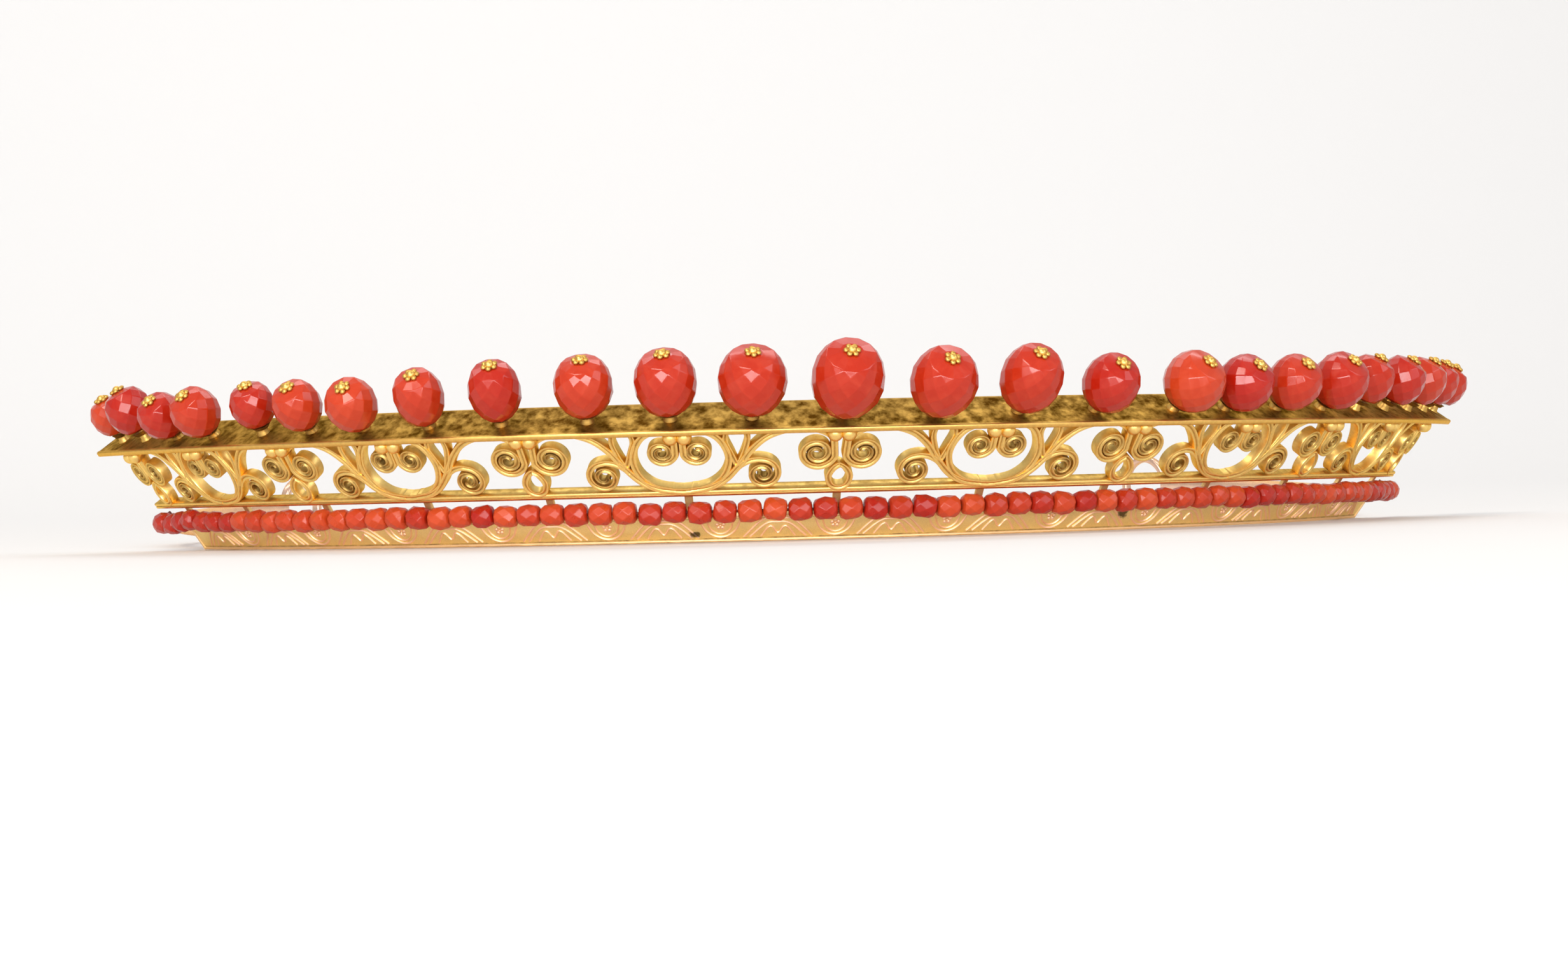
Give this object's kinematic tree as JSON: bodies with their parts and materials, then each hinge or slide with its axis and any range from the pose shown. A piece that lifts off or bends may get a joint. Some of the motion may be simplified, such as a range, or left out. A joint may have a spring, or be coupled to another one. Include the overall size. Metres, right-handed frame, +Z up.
{
  "type": "diadem",
  "caption": "Gilt diadem with a pierced scroll gallery, a row of faceted coral beads on pins, a coral string and an engraved band on an open head hoop with end eyes.",
  "frame": {"origin": "on the hoop's axis, level with the surface that the diadem stands on", "axes": "+Z up out of the hoop, -Y to the front, +X to the right end as seen from the front"},
  "size_m": [0.1554, 0.1359, 0.0196],
  "materials": {
    "hoop_gilt": "polished rose gilt",
    "band_gilt": "matte gilt with raised lines",
    "gallery_gilt": "satin gilt",
    "rail_gilt": "gilt, darkened on top",
    "bead_coral": "faceted and polished",
    "string_coral": "faceted and polished",
    "thread": "twisted silk"
  },
  "bodies": {
    "root": {"head_hoop": "hoop_gilt", "eye_left": "hoop_gilt", "eye_right": "hoop_gilt", "engraved_band": "band_gilt", "coral_string_left": "string_coral", "coral_string_right": "string_coral", "string_thread": "thread", "scroll_gallery": "gallery_gilt", "bead_rail": "rail_gilt", "bead_pins": "rail_gilt", "coral_bead_01": "bead_coral", "coral_bead_02": "bead_coral", "coral_bead_03": "bead_coral", "coral_bead_04": "bead_coral", "coral_bead_05": "bead_coral", "coral_bead_06": "bead_coral", "coral_bead_07": "bead_coral", "coral_bead_08": "bead_coral", "coral_bead_09": "bead_coral", "coral_bead_10": "bead_coral", "coral_bead_11": "bead_coral", "coral_bead_12": "bead_coral", "coral_bead_13": "bead_coral", "coral_bead_14": "bead_coral", "coral_bead_15": "bead_coral", "coral_bead_16": "bead_coral", "coral_bead_17": "bead_coral", "coral_bead_18": "bead_coral", "coral_bead_19": "bead_coral", "coral_bead_20": "bead_coral", "coral_bead_21": "bead_coral", "coral_bead_22": "bead_coral", "coral_bead_23": "bead_coral", "coral_bead_24": "bead_coral", "coral_bead_25": "bead_coral"}
  },
  "joints": []
}
